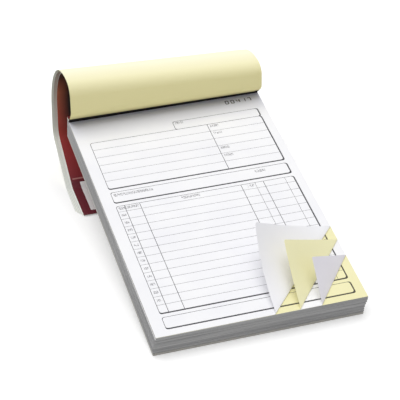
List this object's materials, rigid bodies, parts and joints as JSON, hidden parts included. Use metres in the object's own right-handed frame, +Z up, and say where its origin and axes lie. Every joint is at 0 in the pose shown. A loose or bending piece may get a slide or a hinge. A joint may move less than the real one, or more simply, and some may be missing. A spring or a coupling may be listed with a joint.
{
  "type": "duplicate receipt book",
  "caption": "Head-bound duplicate form book lying open: cover and used leaves rolled over the head and under the pad, three top leaves peeled up at one corner.",
  "frame": {"origin": "centre of the whole box at table height, under the pad", "axes": "+Z up from the table, +Y from the free edge of the pages towards the bound head, +X to the right across the page"},
  "size_m": [0.1464, 0.2516, 0.0871],
  "materials": {
    "white_paper": "matte uncoated, printed form lines",
    "yellow_paper": "matte uncoated, printed form lines",
    "page_edges": "trimmed page edges",
    "cover_card": "printed card, satin",
    "greyboard": "raw greyboard",
    "binding_tape": "gummed paper tape",
    "staple_wire": "drawn wire"
  },
  "bodies": {
    "pad": {"back_board": "greyboard", "unused_sets_1": "page_edges", "unused_sets_2": "page_edges", "unused_sets_3": "page_edges", "unused_sets_4": "page_edges", "unused_sets_5": "page_edges", "unused_sets_6": "page_edges", "bound_leaf_ends": "white_paper", "used_leaf_ends": "yellow_paper", "torn_original_stubs": "white_paper", "cover_bound_end": "cover_card", "binding_tape": "binding_tape", "staples": "staple_wire"},
    "turned_roll": {"front_cover": "cover_card", "used_duplicate_1": "yellow_paper", "used_duplicate_2": "yellow_paper", "used_duplicate_3": "yellow_paper", "used_duplicate_4": "yellow_paper"},
    "flat_leaf": {"second_duplicate": "yellow_paper"},
    "peeled_leaves": {"top_original": "white_paper", "top_duplicate": "yellow_paper", "second_original": "white_paper"}
  },
  "joints": [
    {"name": "roll_swing", "type": "hinge", "parent": "pad", "child": "turned_roll", "pos_m": [0, 0.08335, 0.05504], "axis": [1, 0, 0], "range_deg": [0, 20]},
    {"name": "flat_leaf_lift", "type": "hinge", "parent": "pad", "child": "flat_leaf", "pos_m": [0, 0.0819, 0.05234], "axis": [-1, 0, 0], "range_deg": [0, 6]},
    {"name": "peeled_leaves_lift", "type": "hinge", "parent": "flat_leaf", "child": "peeled_leaves", "pos_m": [0, 0.08188, 0.05244], "axis": [-1, 0, 0], "range_deg": [0, 22]}
  ]
}
